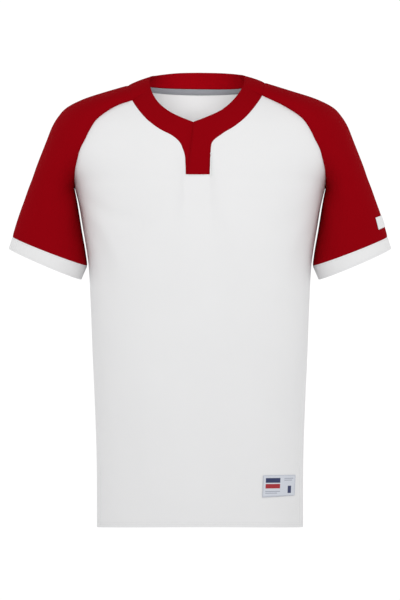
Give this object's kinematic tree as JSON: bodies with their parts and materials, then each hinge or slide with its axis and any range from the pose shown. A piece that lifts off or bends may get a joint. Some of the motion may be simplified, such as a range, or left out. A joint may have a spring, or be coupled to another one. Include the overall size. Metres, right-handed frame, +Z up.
{
  "type": "short-sleeved pullover baseball jersey",
  "caption": "Short-sleeved pullover baseball jersey, filled out: white body, red raglan sleeves with white cuffs, red neckband crossing into a short placket.",
  "frame": {"origin": "middle of the body, level with the shoulders where they meet the neck, where the wearer's shoulders hold the garment up", "axes": "+Z up, out of the neck; +Y towards the back, so the front faces -Y; +X towards the wearer's left"},
  "size_m": [0.6788, 0.2885, 0.8074],
  "materials": {
    "white_knit": "matte smooth polyester knit",
    "red_knit": "matte smooth polyester knit, red",
    "white_rib": "matte white knit band with stitched edges",
    "red_band": "matte red knit band, doubled and topstitched",
    "grey_tape": "grey herringbone neck tape",
    "woven_tag": "satin woven tag with a stitched border",
    "white_patch": "small white stitched patch"
  },
  "bodies": {
    "root": {"front_panel": "white_knit", "back_panel": "white_knit", "sleeve_right": "red_knit", "sleeve_left": "red_knit", "cuff_right": "white_rib", "cuff_left": "white_rib", "neckband_under": "red_band", "neckband_over": "red_band", "neck_tape": "grey_tape", "hem_tag": "woven_tag", "sleeve_patch": "white_patch"}
  },
  "joints": []
}
